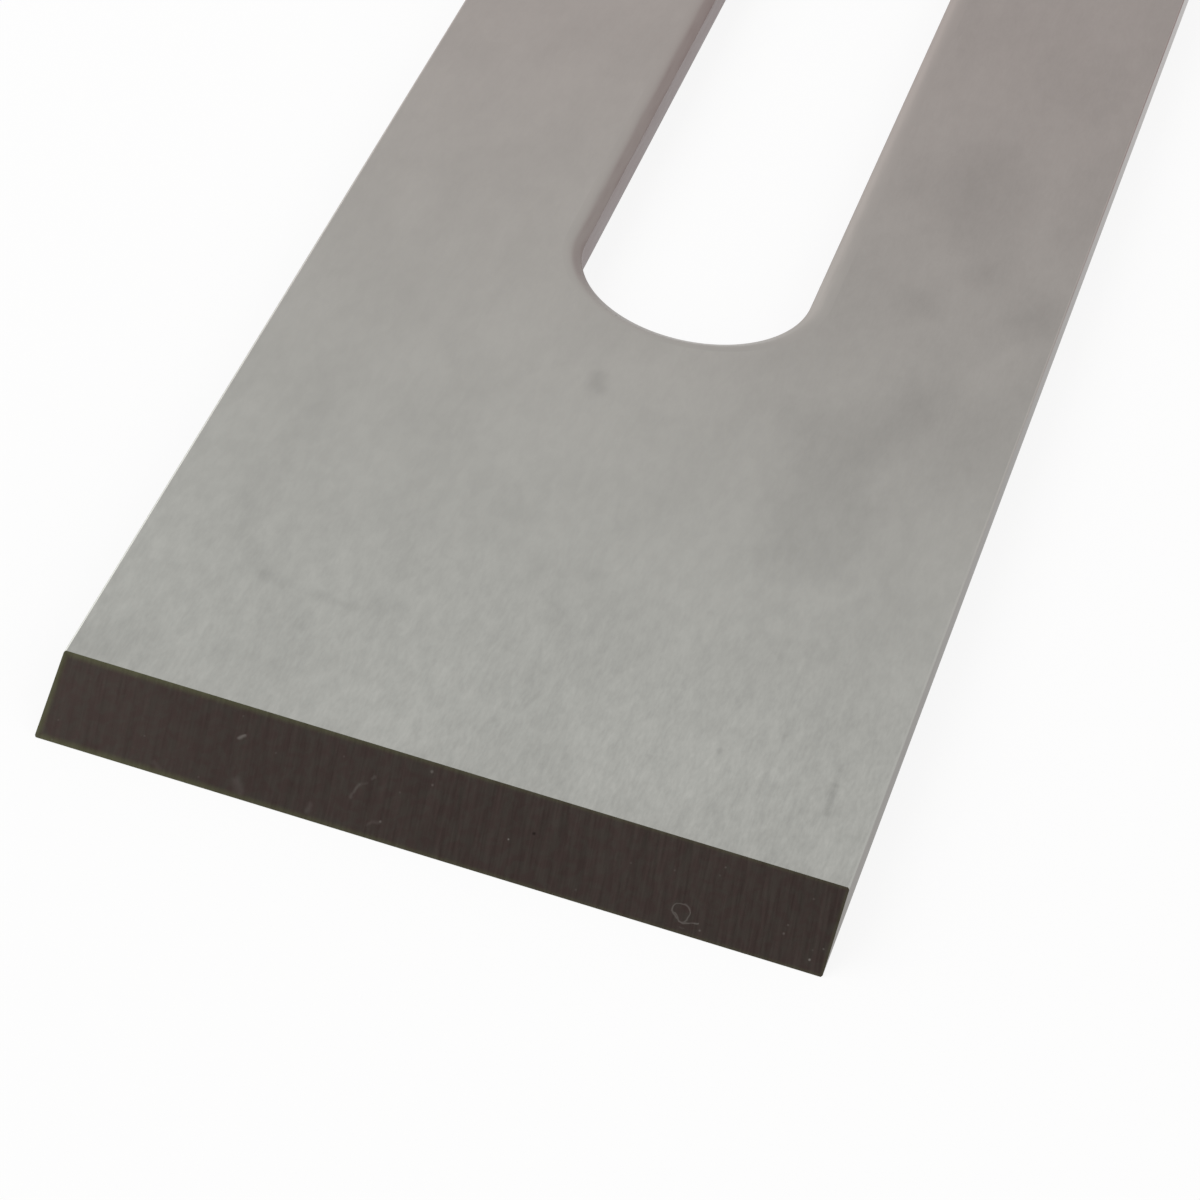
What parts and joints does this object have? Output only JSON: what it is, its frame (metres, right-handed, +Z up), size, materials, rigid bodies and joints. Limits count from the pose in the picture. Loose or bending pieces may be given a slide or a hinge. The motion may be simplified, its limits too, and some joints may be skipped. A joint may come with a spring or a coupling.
{
  "type": "plane blade",
  "caption": "Flat ground steel blade for a hand plane, with a bevelled cutting edge across its front and a long round-ended slot down its middle.",
  "frame": {"origin": "middle of the blade's footprint, on its flat back face, which is down", "axes": "+Y along the blade from the cutting edge to the rear end, +X across the blade, +Z up out of the bevelled face"},
  "size_m": [0.0412, 0.15, 0.003],
  "materials": {
    "ground_steel": "surface ground along its length, with a finer and darker ground bevel"
  },
  "bodies": {
    "root": {"blade": "ground_steel"}
  },
  "joints": []
}
